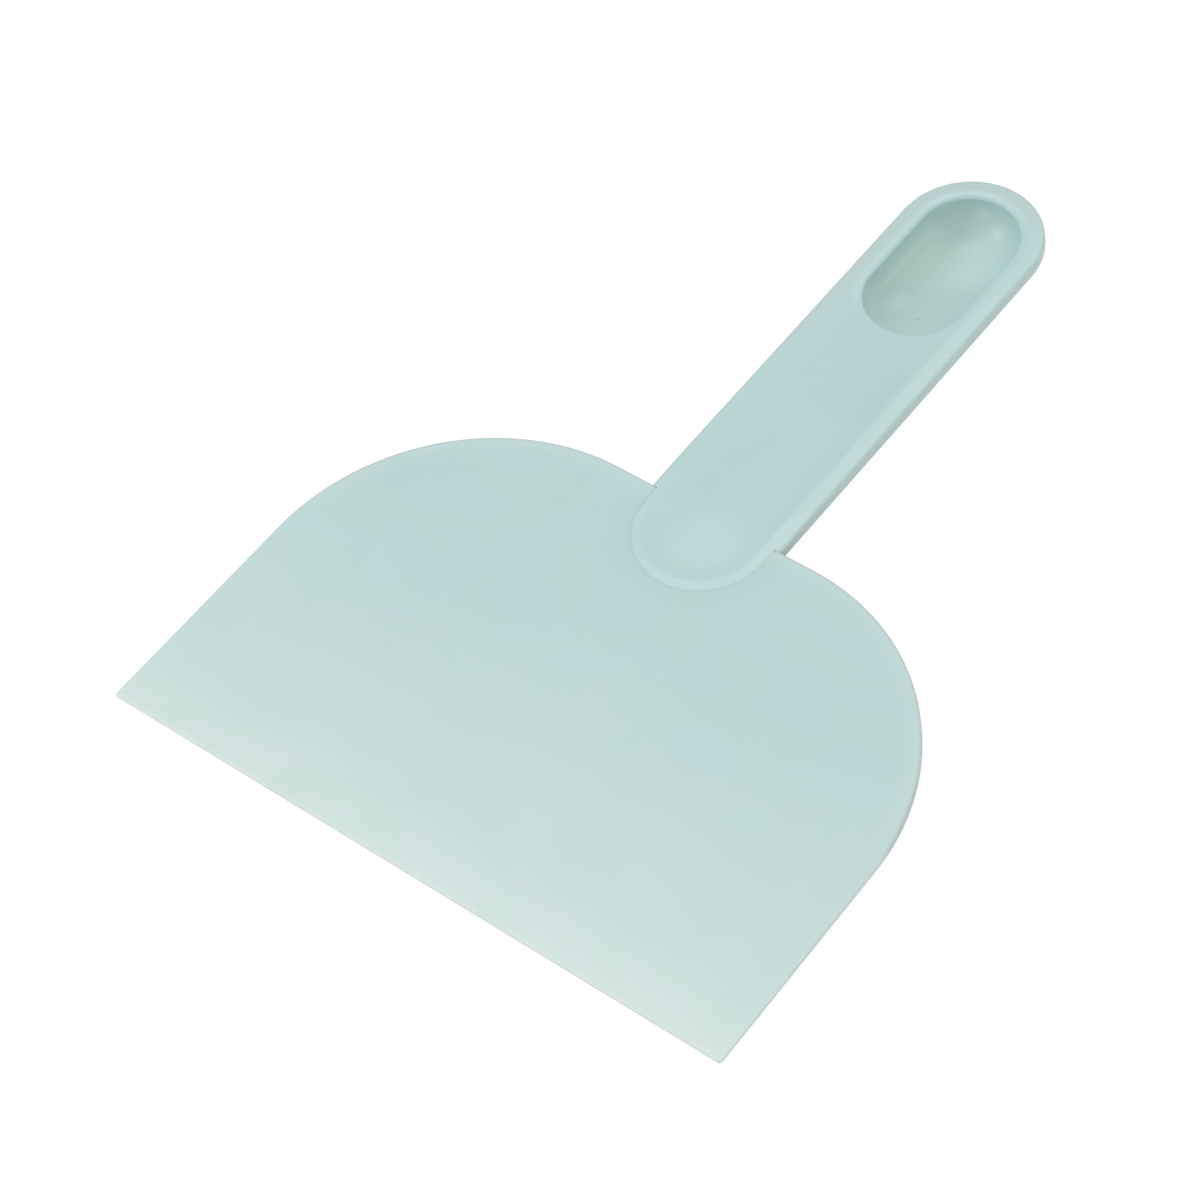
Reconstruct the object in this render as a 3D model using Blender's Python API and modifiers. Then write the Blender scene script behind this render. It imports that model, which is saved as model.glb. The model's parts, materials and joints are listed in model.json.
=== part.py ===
"""Dough scraper: a thin half-moon blade held in a dished handle that ends in a measuring bowl.

The handle is moulded round the back of the blade. Its foot sits in a pocket in the blade's face, a
pad lies under the blade, and pegs join the two through holes in the blade and in its tang.

The two pieces are drawn in the blade's own plane: X across the tool, Y from the scraping edge to
the handle's far end, Z up from the blade's flat face. An empty then sets the tool down on its
scraping edge and the underside of its bowl, as it lies on a table.
"""

import math

import bmesh
import bpy
from mathutils import Matrix, Vector

MM = 0.001

# Clearance between the two pieces
GAP = 0.3 * MM

# Blade
BLADE_WIDTH = 150.0 * MM
BLADE_LENGTH = 98.1 * MM
BLADE_THICKNESS = 2.0 * MM
EDGE_THICKNESS = 0.6 * MM
TAPER_LENGTH = 55.0 * MM
SIDE_LENGTH = 49.1 * MM
SIDE_TILT = math.radians(0.97)
BLADE_ROUNDING = 0.35 * MM

# Handle, seen from above
FOOT_LAP = 19.8 * MM
HANDLE_LENGTH = 122.85 * MM
HANDLE_WIDTH = 32.1 * MM

# Handle, in section
HANDLE_HEIGHT = 3.2 * MM
RIM_INSET = 3.2 * MM
SHOULDER_RADIUS = 0.9 * MM
UNDER_RADIUS = 0.8 * MM
RIM_RISE = 0.25 * MM
RIM_FALL = 1.4 * MM
DISH_DEPTH = 0.35 * MM
DISH_BLEND = 4.5 * MM

# Handle's foot on the blade
FOOT_INSET = 1.5 * MM
FOOT_DIP = 0.25 * MM
FOOT_BLEND = 2.2 * MM
FOOT_RAMP = 11.0 * MM
FOOT_RAMP_INSET = 4.5 * MM

# Recess along the handle's underside
WEB_THICKNESS = 2.2 * MM
RECESS_RAIL = 5.5 * MM
RECESS_DRAFT = 1.0 * MM
RECESS_END_WALL = 3.0 * MM

# Bowl
BOWL_RAIL = 4.85 * MM
BOWL_LENGTH = 40.5 * MM
BOWL_DEPTH = 8.0 * MM
BOWL_WALL = 1.6 * MM
BOWL_LIP = 0.5 * MM
BOWL_END_WALL = 4.85 * MM
REST_FLAT_DEPTH = 0.25 * MM

# Joint of the blade and the handle
SEAT_DEPTH = 1.25 * MM
TANG_RAIL = 6.0 * MM
TANG_LENGTH = 14.0 * MM
LOCK_HOLE_RADIUS = 2.5 * MM
LOCK_HOLE_SPREAD = 15.0 * MM
LOCK_HOLE_INSET = 9.0 * MM
TANG_HOLE_INSET = 8.0 * MM

# Fineness of the curves
ARC_STEPS = 24
SIDE_STEPS = 18
BOWL_SIDE_STEPS = 6
SHOULDER_STEPS = 40
DISH_STEPS = 8
EDGE_STEPS = 6
BOWL_STEPS = 10
HOLE_SIDES = 28

# Colours and finish of the plastic, as linear values
BLADE_COLOUR = (0.55, 0.71, 0.67)
HANDLE_COLOUR = (0.50, 0.66, 0.65)
PLASTIC_ROUGHNESS = 0.42

# Sizes that follow from the ones above
HANDLE_R = HANDLE_WIDTH / 2
RIM_R = HANDLE_R - RIM_INSET
FOOT_R = HANDLE_R - FOOT_INSET
SHOULDER_R = HANDLE_R - SHOULDER_RADIUS
UNDER_R = HANDLE_R - UNDER_RADIUS
FLANK_ANGLE = math.atan(RIM_RISE / (RIM_INSET - FOOT_INSET))
HANDLE_NEAR_Y = BLADE_LENGTH - FOOT_LAP + HANDLE_R
HANDLE_FAR_Y = HANDLE_NEAR_Y + HANDLE_LENGTH - HANDLE_WIDTH
BOWL_R = HANDLE_R - BOWL_RAIL
BOWL_FAR_Y = HANDLE_FAR_Y + HANDLE_R - BOWL_END_WALL - BOWL_R
BOWL_NEAR_Y = BOWL_FAR_Y - (BOWL_LENGTH - 2 * BOWL_R)
RECESS_R = HANDLE_R - RECESS_RAIL
TANG_R = HANDLE_R - TANG_RAIL
TANG_FAR_Y = BLADE_LENGTH + TANG_LENGTH - TANG_R
CUT_MARGIN = 5.0 * MM


def clear_scene():
    for obj in list(bpy.data.objects):
        bpy.data.objects.remove(obj, do_unlink=True)


def new_collection(name):
    collection = bpy.data.collections.new(name)
    bpy.context.scene.collection.children.link(collection)
    return collection


def smoothstep(t):
    t = min(max(t, 0.0), 1.0)
    return t * t * (3.0 - 2.0 * t)


def mesh_object(name, bm, collection):
    """Turns a bmesh into an object, with its normals outward and its round faces smooth."""
    bmesh.ops.recalc_face_normals(bm, faces=bm.faces)
    mesh = bpy.data.meshes.new(name)
    bm.to_mesh(mesh)
    bm.free()
    mesh.shade_smooth()
    mesh.set_sharp_from_angle(angle=math.radians(35))
    obj = bpy.data.objects.new(name, mesh)
    collection.objects.link(obj)
    return obj


def make_cutter(obj):
    obj.hide_render = True
    obj.display_type = "WIRE"
    return obj


def boolean(obj, other, operation):
    modifier = obj.modifiers.new(f"{operation.lower()} {other.name}", "BOOLEAN")
    modifier.operation = operation
    modifier.object = other
    modifier.solver = "EXACT"


def stadium(near_y, far_y, radius, side_steps=SIDE_STEPS):
    """Outline of two half circles joined by straight sides, as a list of X, Y pairs."""
    points = []
    for i in range(ARC_STEPS):
        angle = math.pi + math.pi * i / ARC_STEPS
        points.append((radius * math.cos(angle), near_y + radius * math.sin(angle)))
    for i in range(side_steps):
        points.append((radius, near_y + (far_y - near_y) * i / side_steps))
    for i in range(ARC_STEPS):
        angle = math.pi * i / ARC_STEPS
        points.append((radius * math.cos(angle), far_y + radius * math.sin(angle)))
    for i in range(side_steps):
        points.append((-radius, far_y + (near_y - far_y) * i / side_steps))
    return points


def loft(name, rings, collection):
    """Skins a row of outlines that have the same number of points, and closes both ends.

    An end outline of no radius falls onto a line, where its points are welded. Any other end is
    closed by one flat face.
    """
    bm = bmesh.new()
    loops = [[bm.verts.new(point) for point in ring] for ring in rings]
    for lower, upper in zip(loops, loops[1:]):
        for i in range(len(lower)):
            j = (i + 1) % len(lower)
            bm.faces.new((lower[i], lower[j], upper[j], upper[i]))
    for loop in (loops[0], loops[-1]):
        width = max(vert.co.x for vert in loop) - min(vert.co.x for vert in loop)
        if width > GAP:
            bm.faces.new(loop)
    bmesh.ops.remove_doubles(bm, verts=bm.verts, dist=GAP / 100)
    bmesh.ops.dissolve_degenerate(bm, edges=bm.edges, dist=GAP / 100)
    return mesh_object(name, bm, collection)


def plate(name, outline, top, bottom, collection):
    """Flat plate between two heights, from a filled 2D curve that is made a mesh."""
    curve = bpy.data.curves.new(name, "CURVE")
    curve.dimensions = "2D"
    curve.fill_mode = "BOTH"
    curve.extrude = (top - bottom) / 2
    spline = curve.splines.new("POLY")
    spline.points.add(len(outline) - 1)
    for point, (x, y) in zip(spline.points, outline):
        point.co = (x, y, 0.0, 1.0)
    spline.use_cyclic_u = True
    drawn = bpy.data.objects.new(name + " outline", curve)
    collection.objects.link(drawn)
    bpy.context.view_layer.update()
    bm = bmesh.new()
    bm.from_mesh(drawn.evaluated_get(bpy.context.evaluated_depsgraph_get()).to_mesh())
    bpy.data.objects.remove(drawn, do_unlink=True)
    bmesh.ops.remove_doubles(bm, verts=bm.verts, dist=GAP / 100)
    bmesh.ops.translate(bm, verts=bm.verts, vec=(0.0, 0.0, (top + bottom) / 2))
    return mesh_object(name, bm, collection)


def prism(name, profile, width, collection):
    """Bar of the given width across X with the same Y, Z profile all along it."""
    bm = bmesh.new()
    face = bm.faces.new([bm.verts.new((-width / 2, y, z)) for y, z in profile])
    extruded = bmesh.ops.extrude_face_region(bm, geom=[face])["geom"]
    moved = [item for item in extruded if isinstance(item, bmesh.types.BMVert)]
    bmesh.ops.translate(bm, verts=moved, vec=(width, 0.0, 0.0))
    return mesh_object(name, bm, collection)


def cylinder(name, x, y, radius, top, bottom, collection):
    bm = bmesh.new()
    place = Matrix.Translation((x, y, (top + bottom) / 2))
    bmesh.ops.create_cone(bm, cap_ends=True, segments=HOLE_SIDES, radius1=radius, radius2=radius,
                          depth=top - bottom, matrix=place)
    return mesh_object(name, bm, collection)


def lock_places():
    """Centres of the holes through the blade: two under the foot and one in the tang."""
    side = LOCK_HOLE_SPREAD / 2
    foot_y = BLADE_LENGTH - LOCK_HOLE_INSET
    tang_y = BLADE_LENGTH + TANG_LENGTH - TANG_HOLE_INSET
    return [(-side, foot_y), (side, foot_y), (0.0, tang_y)]


def rim_height(y):
    """Height of the handle's rim over the blade's face, which falls towards the far end."""
    along = max(0.0, y - BLADE_LENGTH) / (HANDLE_FAR_Y - BLADE_LENGTH)
    return RIM_RISE - RIM_FALL * along


def dish_height(y, radius):
    """Height of the dish at a distance from the handle's centre line or an end's centre."""
    ramp = smoothstep((HANDLE_NEAR_Y - FOOT_RAMP_INSET - y) / FOOT_RAMP + 0.5)
    depth = DISH_DEPTH + FOOT_DIP * ramp
    blend_width = DISH_BLEND + (FOOT_BLEND - DISH_BLEND) * ramp
    blend = smoothstep((radius - RIM_R) / blend_width + 1.0)
    return rim_height(y) - depth * (1.0 - blend)


def flank_fall(radius):
    """How far the sloping flank outside the rim's crest has fallen at a radius."""
    return (radius - RIM_R) * math.tan(FLANK_ANGLE)


def underside_height(y):
    return rim_height(y) - HANDLE_HEIGHT


def bowl_mouth_height():
    return rim_height(BOWL_NEAR_Y) - DISH_DEPTH


def handle_rings():
    """Outlines of the handle's skin, from the dish's centre line over its rim to the underside."""
    rings = []
    for i in range(DISH_STEPS):
        radius = RIM_R * math.sin(math.pi / 2 * i / DISH_STEPS)
        outline = stadium(HANDLE_NEAR_Y, HANDLE_FAR_Y, radius)
        rings.append([(x, y, dish_height(y, radius)) for x, y in outline])
    outline = stadium(HANDLE_NEAR_Y, HANDLE_FAR_Y, RIM_R)
    rings.append([(x, y, rim_height(y)) for x, y in outline])
    shoulder_fall = flank_fall(SHOULDER_R + SHOULDER_RADIUS * math.sin(FLANK_ANGLE))
    for i in range(EDGE_STEPS + 1):
        angle = FLANK_ANGLE + (math.pi / 2 - FLANK_ANGLE) * i / EDGE_STEPS
        radius = SHOULDER_R + SHOULDER_RADIUS * math.sin(angle)
        fall = shoulder_fall + SHOULDER_RADIUS * (math.cos(FLANK_ANGLE) - math.cos(angle))
        outline = stadium(HANDLE_NEAR_Y, HANDLE_FAR_Y, radius)
        rings.append([(x, y, rim_height(y) - fall) for x, y in outline])
    for i in range(EDGE_STEPS + 1):
        angle = math.pi / 2 * i / EDGE_STEPS
        outline = stadium(HANDLE_NEAR_Y, HANDLE_FAR_Y, UNDER_R + UNDER_RADIUS * math.cos(angle))
        rise = UNDER_RADIUS * (1.0 - math.sin(angle))
        rings.append([(x, y, underside_height(y) + rise) for x, y in outline])
    outline = stadium(HANDLE_NEAR_Y, HANDLE_FAR_Y, 0.0)
    rings.append([(x, y, underside_height(y)) for x, y in outline])
    return rings


def bowl_rings(grow, flare):
    """Outlines of the bowl from its mouth to its floor, grown all round by a wall's thickness."""
    rings = []
    mouth = bowl_mouth_height()
    if flare:
        top = mouth + RIM_RISE + CUT_MARGIN
        for radius, height in ((BOWL_R + flare, top), (BOWL_R + flare, mouth + flare),
                               (BOWL_R + flare / 4, mouth + flare / 4)):
            outline = stadium(BOWL_NEAR_Y, BOWL_FAR_Y, radius, BOWL_SIDE_STEPS)
            rings.append([(x, y, height) for x, y in outline])
    for i in range(1, BOWL_STEPS + 1):
        angle = math.pi / 2 * i / BOWL_STEPS
        radius = (BOWL_R + grow) * math.cos(angle)
        outline = stadium(BOWL_NEAR_Y, BOWL_FAR_Y, radius, BOWL_SIDE_STEPS)
        height = mouth - (BOWL_DEPTH + grow) * math.sin(angle)
        rings.append([(x, y, height) for x, y in outline])
    return rings


def blade_outline():
    """Blade and tang seen from above, anticlockwise from the left end of the scraping edge."""
    half = BLADE_WIDTH / 2
    side_x = half - SIDE_LENGTH * math.sin(SIDE_TILT)
    side_y = SIDE_LENGTH * math.cos(SIDE_TILT)
    radius = (BLADE_LENGTH - side_y) / (1.0 - math.sin(SIDE_TILT))
    centre_x = side_x - radius * math.cos(SIDE_TILT)
    centre_y = side_y - radius * math.sin(SIDE_TILT)
    right = [(half + CUT_MARGIN * math.tan(SIDE_TILT), -CUT_MARGIN)]
    for i in range(SHOULDER_STEPS + 1):
        angle = SIDE_TILT + (math.pi / 2 - SIDE_TILT) * i / SHOULDER_STEPS
        right.append((centre_x + radius * math.cos(angle), centre_y + radius * math.sin(angle)))
    right.append((TANG_R, BLADE_LENGTH))
    for i in range(ARC_STEPS // 2):
        angle = math.pi / 2 * i / (ARC_STEPS // 2)
        right.append((TANG_R * math.cos(angle), TANG_FAR_Y + TANG_R * math.sin(angle)))
    tip = [(0.0, TANG_FAR_Y + TANG_R)]
    left = [(-x, y) for x, y in reversed(right)]
    return right + tip + left


def foot_surround_outline():
    """What is cut away round the foot, so that it fits the seat in the blade's face."""
    far_y = BLADE_LENGTH + GAP
    near_y = HANDLE_NEAR_Y - HANDLE_R - CUT_MARGIN
    side = HANDLE_R + CUT_MARGIN
    foot = []
    for i in range(ARC_STEPS + 1):
        angle = math.pi + math.pi * i / ARC_STEPS
        foot.append((FOOT_R * math.cos(angle), HANDLE_NEAR_Y + FOOT_R * math.sin(angle)))
    return ([(-side, far_y), (-FOOT_R, far_y)] + foot
            + [(FOOT_R, far_y), (side, far_y), (side, near_y), (-side, near_y)])


def build_blade(parts, cutters):
    """Half-moon plate, tapered underneath to its scraping edge, with the handle's seat cut in it."""
    blade = plate("blade", blade_outline(), 0.0, -BLADE_THICKNESS, parts)
    rounding = blade.modifiers.new("rounded edges", "BEVEL")
    rounding.width = BLADE_ROUNDING
    rounding.segments = 2
    rounding.limit_method = "ANGLE"
    rounding.angle_limit = math.radians(50)

    slope = (BLADE_THICKNESS - EDGE_THICKNESS) / TAPER_LENGTH
    deep = -BLADE_THICKNESS - CUT_MARGIN
    taper = prism("blade taper", [
        (-2 * CUT_MARGIN, CUT_MARGIN),
        (0.0, CUT_MARGIN),
        (0.0, -EDGE_THICKNESS),
        (TAPER_LENGTH, -BLADE_THICKNESS),
        (TAPER_LENGTH + CUT_MARGIN, -BLADE_THICKNESS - slope * CUT_MARGIN),
        (TAPER_LENGTH + CUT_MARGIN, deep),
        (-2 * CUT_MARGIN, deep),
    ], BLADE_WIDTH + 4 * CUT_MARGIN, cutters)
    boolean(blade, make_cutter(taper), "DIFFERENCE")

    seat_outline = stadium(HANDLE_NEAR_Y, HANDLE_FAR_Y, FOOT_R + GAP)
    seat = plate("handle seat", seat_outline, CUT_MARGIN, -SEAT_DEPTH, cutters)
    boolean(blade, make_cutter(seat), "DIFFERENCE")

    for i, (x, y) in enumerate(lock_places(), start=1):
        hole = cylinder(f"lock hole {i}", x, y, LOCK_HOLE_RADIUS, CUT_MARGIN, deep, cutters)
        boolean(blade, make_cutter(hole), "DIFFERENCE")
    return blade


def build_handle(parts, cutters):
    """Dished bar with a bowl in its far end, cut for the blade and pegged through it."""
    handle = loft("handle", handle_rings(), parts)

    recess_near_y = BLADE_LENGTH + TANG_LENGTH + RECESS_END_WALL + RECESS_R
    recess_rings = []
    for radius, depth in ((RECESS_R - RECESS_DRAFT, DISH_DEPTH + WEB_THICKNESS),
                          (RECESS_R, HANDLE_HEIGHT + UNDER_RADIUS)):
        outline = stadium(recess_near_y, BOWL_NEAR_Y, radius)
        recess_rings.append([(x, y, rim_height(y) - depth) for x, y in outline])
    recess = loft("underside recess", recess_rings, cutters)
    boolean(handle, make_cutter(recess), "DIFFERENCE")

    dome = loft("bowl outside", bowl_rings(BOWL_WALL, 0.0), cutters)
    boolean(handle, make_cutter(dome), "UNION")
    bowl = loft("bowl inside", bowl_rings(0.0, BOWL_LIP), cutters)
    boolean(handle, make_cutter(bowl), "DIFFERENCE")

    slot_top = -SEAT_DEPTH + GAP
    slot_bottom = -BLADE_THICKNESS - GAP
    slot_width = HANDLE_WIDTH + 2 * CUT_MARGIN
    blade_slot = prism("blade slot", [
        (BLADE_LENGTH - HANDLE_LENGTH, slot_bottom),
        (BLADE_LENGTH + GAP, slot_bottom),
        (BLADE_LENGTH + GAP, slot_top),
        (BLADE_LENGTH - HANDLE_LENGTH, slot_top),
    ], slot_width, cutters)
    boolean(handle, make_cutter(blade_slot), "DIFFERENCE")
    foot_surround = plate("foot surround", foot_surround_outline(), CUT_MARGIN,
                          slot_top - GAP, cutters)
    boolean(handle, make_cutter(foot_surround), "DIFFERENCE")
    tang_outline = stadium(BLADE_LENGTH - CUT_MARGIN, TANG_FAR_Y, TANG_R + GAP)
    tang_slot = plate("tang slot", tang_outline, slot_top, slot_bottom, cutters)
    boolean(handle, make_cutter(tang_slot), "DIFFERENCE")

    for i, (x, y) in enumerate(lock_places(), start=1):
        bite = GAP / 2
        peg = cylinder(f"lock peg {i}", x, y, LOCK_HOLE_RADIUS - GAP, slot_top + bite,
                       slot_bottom - bite, cutters)
        boolean(handle, make_cutter(peg), "UNION")

    ground = ground_cutter(cutters)
    boolean(handle, make_cutter(ground), "DIFFERENCE")
    return handle


def resting_slope():
    """Slope of the table under the tool, from the scraping edge to the flat under the bowl."""
    bowl_underside = BOWL_DEPTH + BOWL_WALL - bowl_mouth_height()
    return (bowl_underside - REST_FLAT_DEPTH - EDGE_THICKNESS) / BOWL_NEAR_Y


def ground_cutter(cutters):
    """Everything below the table's plane, which gives the bowl a small flat to rest on."""
    slope = resting_slope()
    far = HANDLE_FAR_Y + HANDLE_WIDTH
    near_height = -EDGE_THICKNESS - slope * BLADE_LENGTH
    far_height = -EDGE_THICKNESS - slope * far
    deep = far_height - CUT_MARGIN
    profile = [(BLADE_LENGTH, deep), (far, deep), (far, far_height), (BLADE_LENGTH, near_height)]
    return prism("ground", profile, HANDLE_WIDTH + 2 * CUT_MARGIN, cutters)


def resting_pose(parts):
    """Empty that lays the tool on the ground, with the middle of its length at the origin."""
    pitch = math.atan(resting_slope())
    edge_centre = Vector((0.0, HANDLE_FAR_Y + UNDER_R,
                          underside_height(HANDLE_FAR_Y + UNDER_R) + UNDER_RADIUS))
    turn = Matrix.Rotation(pitch, 4, "X")
    length = (turn @ edge_centre).y + UNDER_RADIUS
    pose = bpy.data.objects.new("resting pose", None)
    parts.objects.link(pose)
    pose.rotation_euler = (pitch, 0.0, 0.0)
    pose.location = (0.0, -length / 2, EDGE_THICKNESS * math.cos(pitch))
    return pose


def plastic(name, colour):
    """Slightly soft, satin moulded plastic."""
    material = bpy.data.materials.new(name)
    material.use_nodes = True
    shader = material.node_tree.nodes["Principled BSDF"]
    shader.inputs["Base Color"].default_value = (*colour, 1.0)
    shader.inputs["Roughness"].default_value = PLASTIC_ROUGHNESS
    shader.inputs["Metallic"].default_value = 0.0
    material.diffuse_color = (*colour, 1.0)
    return material


def blade_plastic():
    return plastic("blade plastic", BLADE_COLOUR)


def handle_plastic():
    return plastic("handle plastic", HANDLE_COLOUR)


def main():
    clear_scene()
    parts = new_collection("dough scraper")
    cutters = new_collection("cutters")
    blade = build_blade(parts, cutters)
    blade.data.materials.append(blade_plastic())
    handle = build_handle(parts, cutters)
    handle.data.materials.append(handle_plastic())
    pose = resting_pose(parts)
    for obj in [blade, handle, *cutters.objects]:
        obj.parent = pose
    bpy.context.view_layer.update()


main()
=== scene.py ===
"""Dough scraper: a thin half-moon blade in a dished handle that ends in a measuring bowl.

Both pieces are shaped in the blade's own plane: X along the scraping edge, Y towards the handle's
far end, Z up from the blade's face. They are then laid on the table where the frame has them.
"""

import json
import math
from typing import NamedTuple

import bmesh
import bpy
import numpy as np
from bpy.props import FloatProperty, FloatVectorProperty, PointerProperty
from mathutils import Matrix, Vector


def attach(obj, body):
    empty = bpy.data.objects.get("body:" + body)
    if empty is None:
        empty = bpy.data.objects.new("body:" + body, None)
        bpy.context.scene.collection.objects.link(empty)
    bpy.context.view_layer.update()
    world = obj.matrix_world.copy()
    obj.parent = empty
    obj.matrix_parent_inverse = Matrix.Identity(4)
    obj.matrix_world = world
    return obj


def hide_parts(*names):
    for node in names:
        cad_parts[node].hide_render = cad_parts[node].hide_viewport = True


bl_info = {
    "name": "Dough scraper",
    "version": (1, 0, 0),
    "blender": (4, 5, 0),
    "location": "3D View > Sidebar > Scraper",
    "description": "Builds a dough scraper with a measuring bowl in its handle",
    "category": "Add Mesh",
}

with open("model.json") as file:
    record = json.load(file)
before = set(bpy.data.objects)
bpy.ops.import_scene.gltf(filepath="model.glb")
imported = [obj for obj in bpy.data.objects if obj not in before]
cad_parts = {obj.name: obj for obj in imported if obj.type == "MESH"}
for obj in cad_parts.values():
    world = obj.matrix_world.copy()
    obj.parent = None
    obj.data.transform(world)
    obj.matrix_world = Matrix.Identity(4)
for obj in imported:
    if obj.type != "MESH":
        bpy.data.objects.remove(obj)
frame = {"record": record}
MM = 0.001
# Points this close are one point, and a loop this thin is only a line
WELD = 0.001 * MM
LINE = 0.01 * MM
# Edges that turn by more than this are drawn sharp
SHARP_TURN = math.radians(32)
# What a block does to a piece, and how far it passes it
CUT = "DIFFERENCE"
JOIN = "UNION"
PAST = 2.0 * MM

# Loops of the handle's skin, from the bowl's floor over its lip and the rim to its outside
FLOOR_LOOPS = 30
LIP_LOOPS = 11
TOP_LOOPS = 62
SHOULDER_LOOPS = 10
UNDER_LOOPS = 8
BOTTOM_LOOPS = 36
DOME_LOOPS = 34
# More loops on the flank, in millimetres outside the crest, and their least room to the shoulder
FLANK_LOOPS = (0.1, 0.2, 0.35, 0.6, 1.0)
FLANK_ROOM = 0.1 * MM

# Points round each half circle and along each side of the handle's and the recess's loops
HANDLE_RING = (40, 40)
RECESS_RING = (37, 12)
# Points round the tongue's tip, the foot and each pin
TANG_POINTS = 25
FOOT_POINTS = 74
PIN_POINTS = 48
# Steps round the blade's shoulders, its front corners and each of its rounded edges
BACK_STEPS = 96
FRONT_STEPS = 12
EDGE_STEPS = 6

# How far the rounded band at the blade's outline reaches over each face
FLANGE = 0.05 * MM
# Wall of the recess in the underside: millimetres inside its mouth and under the crest's height
RECESS_WALL = ((1.6, 2.55), (1.1, 2.65), (0.9, 3.0), (0.0, 5.0))

# Detail and roughness of each noise in the plastic
MOTTLE_NOISE = (3.0, 0.55)
DRIFT_NOISE = (3.0, 0.6)
SWELL_NOISE = (1.0, 0.4)
GRAIN_NOISE = (2.0, 0.5)

WHITE = (1.0, 1.0, 1.0, 1.0)
# The columns are the camera's right, up and back, seen from the blade's plane
CAMERA_AXES = (
    (0.7812153, -0.4322141, 0.4504371),
    (0.6091016, 0.6857984, -0.3983413),
    (-0.1367404, 0.5855523, 0.7990185),
)
FILM_WIDTH = 36.0
CAMERA_CLIP = 50.0 * MM
TABLE_HALF = 3000.0 * MM
# The table lies this much lower, so that it doesn't touch the tool's faces
TABLE_DROP = 0.1 * MM

# Name, height over the table and bearing from the scraping edge's side in degrees, power in watts
SOFTBOXES = (
    ("overhead far", 68.0, 180.0, 1.05),
    ("overhead far left", 68.0, 240.0, 0.93),
    ("overhead left", 68.0, 300.0, 0.72),
    ("far", 42.0, 180.0, 1.11),
    ("far right", 42.0, 120.0, 0.46),
    ("left", 42.0, 300.0, 1.90),
    ("low near", 16.0, 0.0, 1.49),
    ("low right", 16.0, 60.0, 0.60),
    ("low far right", 16.0, 120.0, 1.06),
    ("low left", 16.0, 300.0, 0.25),
)


class Fade(NamedTuple):
    """Smooth change of a share between two places in millimetres."""
    start: float
    end: float
    low: float = 0.0
    high: float = 1.0


class Spot(NamedTuple):
    """Round spot on the handle: its middle in millimetres, and its fade outward."""
    x: float
    y: float
    fade: Fade


class BladeTints:
    """Fades of the blade's colour, along it, or outward from its outline or the foot; several are
    painted light and shade.
    """
    # Paler towards the scraping edge, where the plastic is thinner, and partly painted light
    thin_edge = Fade(0.0, 18.0, 0.38, 0.0)
    thin = Fade(0.0, 81.0, 0.62, 0.0)
    # Thinnest plastic at the very edge, with a painted highlight along its rounding
    last_millimetre = Fade(0.2, 1.6, 0.9, 0.0)
    straight_side = Fade(70.0, 50.0)
    round_back = Fade(48.0, 66.0)
    # Painted light on the side walls along the straight sides
    lit_side_wall = Fade(-0.3, 0.0)
    side_light_share = 0.8
    # Painted highlight in a band inside the round shoulders and the back edge
    back_highlight = Fade(-4.5, -0.8, 0.0, 0.24)
    # Painted dark line of shade on the back edge's rounding
    back_line = Fade(-0.6, -0.25, 0.0, 0.7)
    foot_shade = Fade(0.2, 1.2, 0.09, 0.0)
    wide_shade = Fade(0.5, 7.0, 0.04, 0.0)


class HandleTints:
    """Fades of the handle's colour, along it, or outward from its crest or the bowl's mouth; most
    paint light and shade.
    """
    # Painted highlight along the crest: stronger over the blade and on the right, weaker at the
    # far end
    crest = Fade(-0.4, 0.3)
    crest_share = 0.5
    crest_on_blade = Fade(108.0, 94.0, 0.0, 0.75)
    crest_far = Fade(150.0, 190.0, 0.0, 0.4)
    crest_right = Fade(8.0, 13.0, 0.0, 0.24)
    # Painted light on the dish over the foot
    foot = Spot(2.2, 91.3, Fade(1.0, 13.0, 0.92, 0.0))
    # The far left side lies past a slanting line through this place
    far_place = 176.0
    far_slope = 0.5
    far_side = Fade(-4.0, 6.0)
    # Painted highlight on the ridge round the bowl's mouth, on the far left side
    lip_inner = Fade(0.5, 1.1)
    lip_outer = Fade(1.4, 2.7, 1.0, 0.0)
    lip_highlight_share = 1.1
    dish_share = 0.2
    mottle_share = 3.0
    shaded = Spot(9.5, 140.0, Fade(2.0, 16.0, 0.07, 0.0))
    in_dish = Fade(-1.5, -0.5, 1.0, 0.0)
    # Painted shade on the outside of the rim's far left side
    outer = Fade(-0.6, 1.0)
    outer_share = Fade(100.0, 175.0, 0.35, 0.58)
    # Painted shade on the handle's side wall
    wall = Fade(-1.1, -0.05, 0.0, 0.7)


class BowlTints:
    """Fades of the colour in the bowl: a painted highlight on its floor, painted shade on its left
    with a painted lighter band, the gate mark.
    """
    mouth = Fade(-0.8, 0.6, 1.0, 0.0)
    # Painted highlight on the bowl's floor
    floor = Spot(1.5, 185.0, Fade(2.0, 11.5, 1.0, 0.0))
    floor_side = Fade(-5.0, -0.5)
    # Painted light in a band low on the bowl's left wall, where it lifts the painted shade
    band_x = -6.8
    band_y = 177.0
    band_across = Fade(0.5, 2.2, 0.85, 0.0)
    band_along = Fade(4.0, 11.0, 1.0, 0.0)
    # Painted shade on the bowl's left wall
    left_place = 176.0
    left_slope = 0.1
    left = Fade(-7.0, 2.0, 0.17, 0.0)
    gate = Spot(0.5, 165.9, Fade(0.15, 0.5, 0.5, 0.0))


def size_of(name, default, description):
    return FloatProperty(name=name, description=description, default=default * MM, min=0.0,
                         unit="LENGTH", subtype="DISTANCE", precision=5)


def colour_of(name, default, description):
    return FloatVectorProperty(name=name, description=description, default=default, size=3,
                               min=0.0, max=1.0, subtype="COLOR")


def share_of(name, default, description):
    return FloatProperty(name=name, description=description, default=default, min=0.0, max=1.0,
                         subtype="FACTOR")


def number_of(name, default, description):
    return FloatProperty(name=name, description=description, default=default, min=0.0)


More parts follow.
